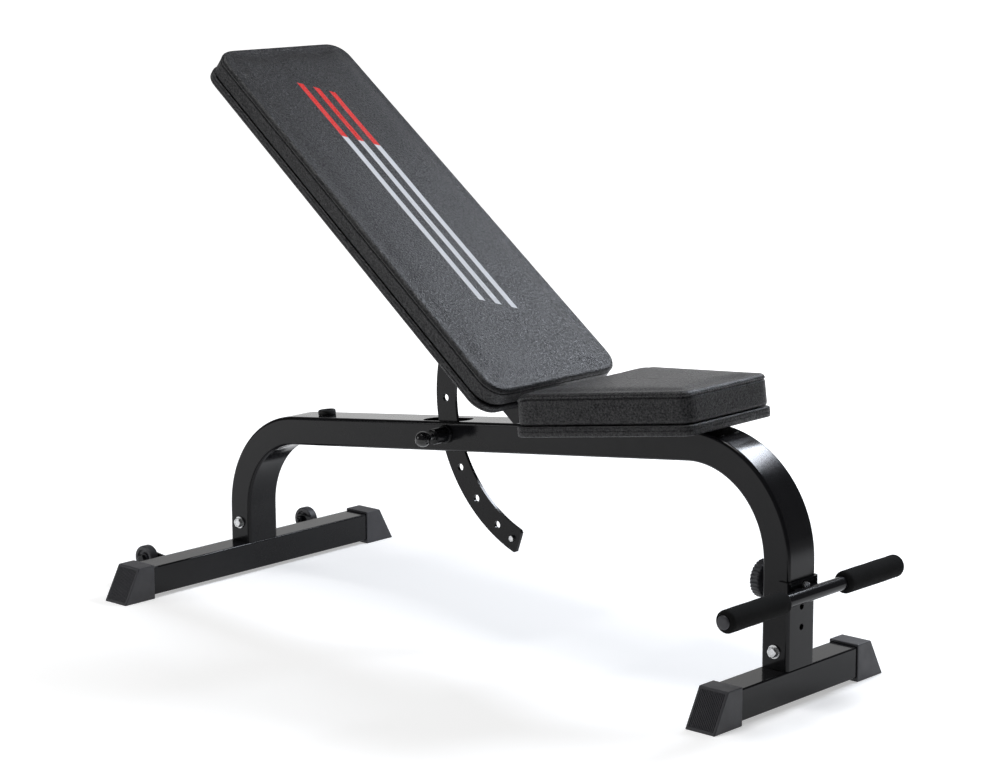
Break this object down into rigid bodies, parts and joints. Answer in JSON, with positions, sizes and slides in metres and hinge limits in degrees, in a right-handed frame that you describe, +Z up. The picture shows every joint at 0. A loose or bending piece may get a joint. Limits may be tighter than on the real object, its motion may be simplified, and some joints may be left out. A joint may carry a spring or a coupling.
{
  "type": "adjustable weight bench",
  "caption": "Low training bench on a bent steel tube, with a fixed seat, a backrest that tilts on a pinned sector plate, a padded foot bar and transport wheels.",
  "frame": {"origin": "on the floor, under the middle of the bench", "axes": "+X along the bench towards the foot bar, +Y across it to the side away from the pull pin, +Z up"},
  "size_m": [1.1875, 0.574, 0.8315],
  "materials": {
    "black_steel": "gloss black powder coat",
    "zinc_steel": "bright zinc plate",
    "black_plastic": "fine moulded texture",
    "rubber": "matt moulded rubber",
    "foam": "closed cell foam, matt",
    "vinyl": "grained synthetic leather over foam",
    "covered_board": "plywood wrapped in black synthetic leather"
  },
  "bodies": {
    "main_frame": {"main_tube": "black_steel", "rear_crossbar": "black_steel", "front_crossbar": "black_steel", "rear_spigot": "black_steel", "front_spigot": "black_steel", "rear_leg_bolt": "zinc_steel", "rear_leg_nut": "zinc_steel", "front_leg_bolt": "zinc_steel", "front_leg_nut": "zinc_steel", "rear_cap_near": "black_plastic", "rear_cap_far": "black_plastic", "front_cap_near": "black_plastic", "front_cap_far": "black_plastic", "wheel_bracket_near": "black_steel", "wheel_bracket_far": "black_steel", "wheel_axle_near": "zinc_steel", "wheel_axle_far": "zinc_steel", "wheel_nut_near": "zinc_steel", "wheel_nut_far": "zinc_steel", "rubber_bumper": "rubber", "hinge_ear_near": "black_steel", "hinge_ear_far": "black_steel", "hinge_bolt": "zinc_steel", "hinge_nut": "zinc_steel", "seat_board": "covered_board", "seat_pad": "vinyl", "seat_plate_rear": "black_steel", "seat_plate_front": "black_steel", "seat_screw_rear_near": "zinc_steel", "seat_screw_rear_far": "zinc_steel", "seat_screw_front_near": "zinc_steel", "seat_screw_front_far": "zinc_steel", "pin_barrel": "black_steel", "pin_spring": "zinc_steel"},
    "backrest": {"backrest_board": "covered_board", "backrest_pad": "vinyl", "backrest_strap": "black_steel", "backrest_arm_near": "black_steel", "backrest_arm_far": "black_steel", "arm_screw_near_1": "zinc_steel", "arm_screw_near_2": "zinc_steel", "arm_screw_far_1": "zinc_steel", "arm_screw_far_2": "zinc_steel", "strap_screw_near": "zinc_steel", "strap_screw_far": "zinc_steel", "sector_plate": "black_steel", "stop_bolt": "zinc_steel"},
    "pull_pin": {"pin_plunger": "zinc_steel", "pin_knob": "black_plastic"},
    "near_wheel": {"wheel_near": "black_plastic"},
    "far_wheel": {"wheel_far": "black_plastic"},
    "foot_bar": {"foot_bar_saddle": "black_steel", "foot_bar_tube": "black_steel", "foam_grip_near": "foam", "foam_grip_far": "foam", "foot_bar_plug_near": "black_plastic", "foot_bar_plug_far": "black_plastic", "clamp_bolt": "zinc_steel"},
    "washer": {"knob_washer": "zinc_steel"},
    "knob": {"lock_knob": "black_plastic"}
  },
  "joints": [
    {"name": "backrest_tilt", "type": "hinge", "parent": "main_frame", "child": "backrest", "pos_m": [0.1443, 0, 0.3445], "axis": [0, 1, 0], "range_deg": [-42.3, 42.3]},
    {"name": "pin_pull", "type": "slide", "parent": "main_frame", "child": "pull_pin", "axis": [0, -1, 0], "range_m": [-0.0075, 0.0075], "stiffness_N_per_m": 400},
    {"name": "near_wheel_spin", "type": "hinge", "parent": "main_frame", "child": "near_wheel", "pos_m": [-0.5737, -0.171, 0.039], "axis": [0, 1, 0], "continuous": true},
    {"name": "far_wheel_spin", "type": "hinge", "parent": "main_frame", "child": "far_wheel", "pos_m": [-0.5737, 0.171, 0.039], "axis": [0, 1, 0], "continuous": true},
    {"name": "foot_bar_pull", "type": "slide", "parent": "main_frame", "child": "foot_bar", "axis": [1, 0, 0], "range_m": [0, 0.07]},
    {"name": "knob_travel", "type": "slide", "parent": "main_frame", "child": "washer", "axis": [-1, 0, 0], "range_m": [0, 0.0126]},
    {"name": "knob_turn", "type": "hinge", "parent": "washer", "child": "knob", "pos_m": [0.4973, 0, 0.162], "axis": [1, 0, 0], "range_deg": [0, 3600]}
  ],
  "couplings": [
    {"joint": "knob_travel", "follows": "knob_turn", "m_per_rad": 0.00019894}
  ]
}
